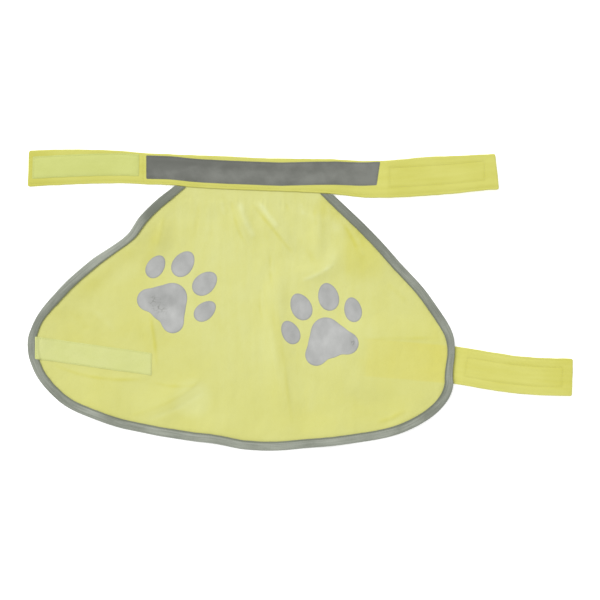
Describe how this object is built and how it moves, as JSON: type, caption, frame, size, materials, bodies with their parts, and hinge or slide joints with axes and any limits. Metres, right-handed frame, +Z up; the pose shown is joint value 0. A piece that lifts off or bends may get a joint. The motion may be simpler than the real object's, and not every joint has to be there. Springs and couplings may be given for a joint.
{
  "type": "dog safety vest",
  "caption": "High-visibility dog vest laid flat: yellow back panel with grey bound edge, neck band with reflective strip, belly strap and hook and loop tapes.",
  "frame": {"origin": "middle of the laid-out vest's outline, on the surface that it lies on", "axes": "+X from the left neck strap to the belly strap's free end, +Y towards the neck band, +Z up out of the cloth's outer face"},
  "size_m": [0.5995, 0.3312, 0.0079],
  "materials": {
    "yellow_sheer": "matt polyester tricot, one layer, slightly sheer",
    "yellow_double": "matt polyester tricot, two layers",
    "grey_reflective": "grey reflective tape with a fine weave",
    "loop_pale": "brushed nylon loops",
    "hook_yellow": "nylon hook tape",
    "film_silver": "silver-grey reflective transfer film"
  },
  "bodies": {
    "root": {"panel": "yellow_sheer", "edge_binding": "grey_reflective", "neck_band": "yellow_double", "reflective_strip": "grey_reflective", "neck_loop_tape": "loop_pale", "neck_hook_tape": "hook_yellow", "belly_strap": "yellow_double", "belly_hook_tape": "hook_yellow", "belly_loop_tape": "loop_pale"}
  },
  "joints": []
}
